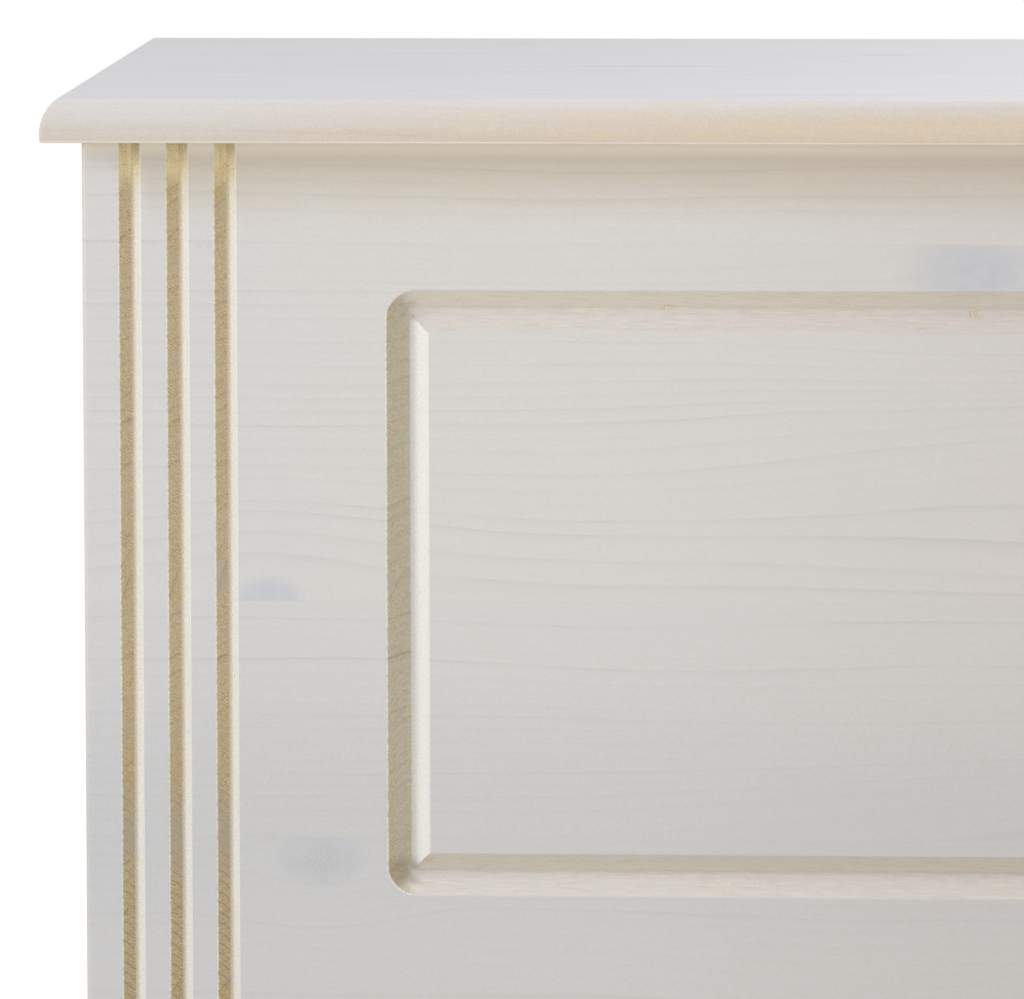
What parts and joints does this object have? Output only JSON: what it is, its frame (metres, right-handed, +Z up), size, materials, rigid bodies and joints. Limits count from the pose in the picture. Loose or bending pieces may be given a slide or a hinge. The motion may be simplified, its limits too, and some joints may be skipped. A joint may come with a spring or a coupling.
{
  "type": "storage chest",
  "caption": "Whitewashed pine chest with a fluted front, a routed field and a lid on butt hinges held open by slotted stays.",
  "frame": {"origin": "on the floor under the middle of the whole outline, hinge barrels included", "axes": "+X along the front towards the right-hand end, -Y out of the front, +Z up"},
  "size_m": [0.8, 0.4074, 0.4],
  "materials": {
    "whitewashed_pine": "thin white glaze, satin",
    "birch_plywood": "bare, fine sanded",
    "zinc_plated_steel": "bright zinc, satin",
    "bumper_rubber": "matt",
    "glide_plastic": "matt"
  },
  "bodies": {
    "carcass": {"front_panel": "whitewashed_pine", "back_panel": "whitewashed_pine", "left_side_panel": "whitewashed_pine", "right_side_panel": "whitewashed_pine", "bottom_panel": "birch_plywood", "front_left_post": "whitewashed_pine", "front_right_post": "whitewashed_pine", "back_left_post": "whitewashed_pine", "back_right_post": "whitewashed_pine", "front_cleat": "whitewashed_pine", "back_cleat": "whitewashed_pine", "left_cleat": "whitewashed_pine", "right_cleat": "whitewashed_pine", "floor_glides": "glide_plastic", "lid_bumpers": "bumper_rubber", "stay_studs": "zinc_plated_steel", "stay_spacers": "glide_plastic", "hinge_carcass_leaves": "zinc_plated_steel", "hinge_pins": "zinc_plated_steel"},
    "lid": {"lid_board": "whitewashed_pine", "left_lid_batten": "whitewashed_pine", "right_lid_batten": "whitewashed_pine", "stay_brackets": "zinc_plated_steel", "stay_rivets": "zinc_plated_steel", "hinge_lid_leaves": "zinc_plated_steel"},
    "left_stay": {"left_stay_arm": "zinc_plated_steel"},
    "right_stay": {"right_stay_arm": "zinc_plated_steel"}
  },
  "joints": [
    {"name": "lid_hinge", "type": "hinge", "parent": "carcass", "child": "lid", "pos_m": [0, 0.20025, 0.3815], "axis": [-1, 0, 0], "range_deg": [0, 95]},
    {"name": "left_stay_pivot", "type": "hinge", "parent": "lid", "child": "left_stay", "pos_m": [-0.3617, 0.03031, 0.36813], "axis": [1, 0, 0], "range_deg": [0, 47.5]},
    {"name": "right_stay_pivot", "type": "hinge", "parent": "lid", "child": "right_stay", "pos_m": [0.3617, 0.03031, 0.36813], "axis": [1, 0, 0], "range_deg": [0, 47.5]}
  ],
  "couplings": [
    {"joint": "left_stay_pivot", "follows": "lid_hinge", "ratio": 0.5},
    {"joint": "right_stay_pivot", "follows": "lid_hinge", "ratio": 0.5}
  ]
}
